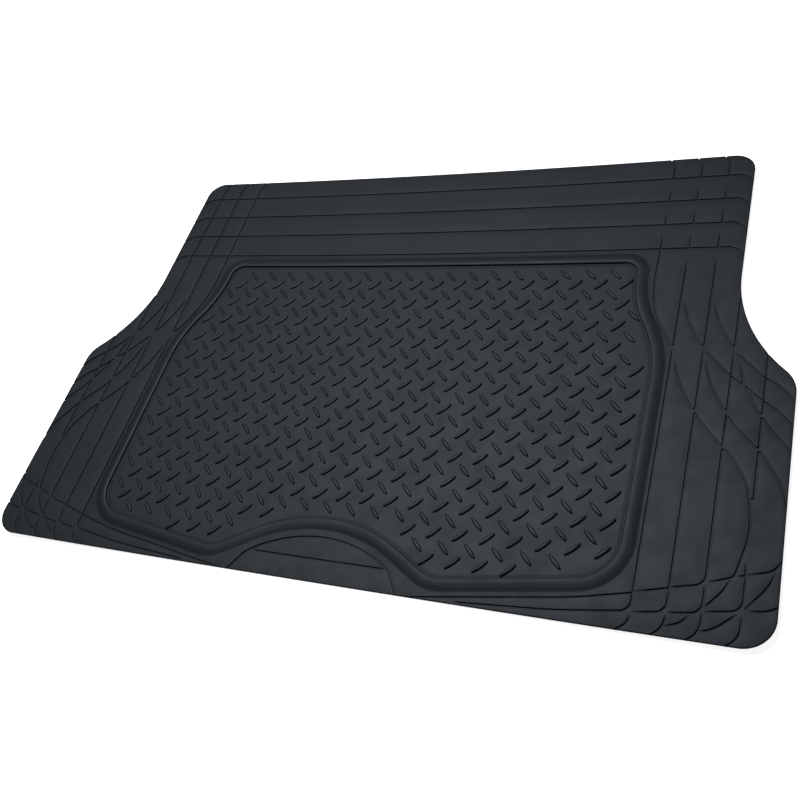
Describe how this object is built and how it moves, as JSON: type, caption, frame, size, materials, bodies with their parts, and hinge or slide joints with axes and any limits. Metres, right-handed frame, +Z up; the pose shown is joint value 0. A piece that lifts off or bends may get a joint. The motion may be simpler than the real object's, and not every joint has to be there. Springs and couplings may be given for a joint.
{
  "type": "boot liner",
  "caption": "One-piece rubber boot liner, narrowed between the wheel arches, with a rimmed tread tray and V grooves that mark where it can be trimmed.",
  "frame": {"origin": "centre of the sheet's footprint, on the surface it lies on", "axes": "+X across the car along the sheet's length, +Y towards the straight back edge, +Z up out of the tray"},
  "size_m": [1.4, 0.921, 0.012],
  "materials": {
    "rubber": "matte moulded"
  },
  "bodies": {
    "root": {"boot_liner": "rubber"}
  },
  "joints": []
}
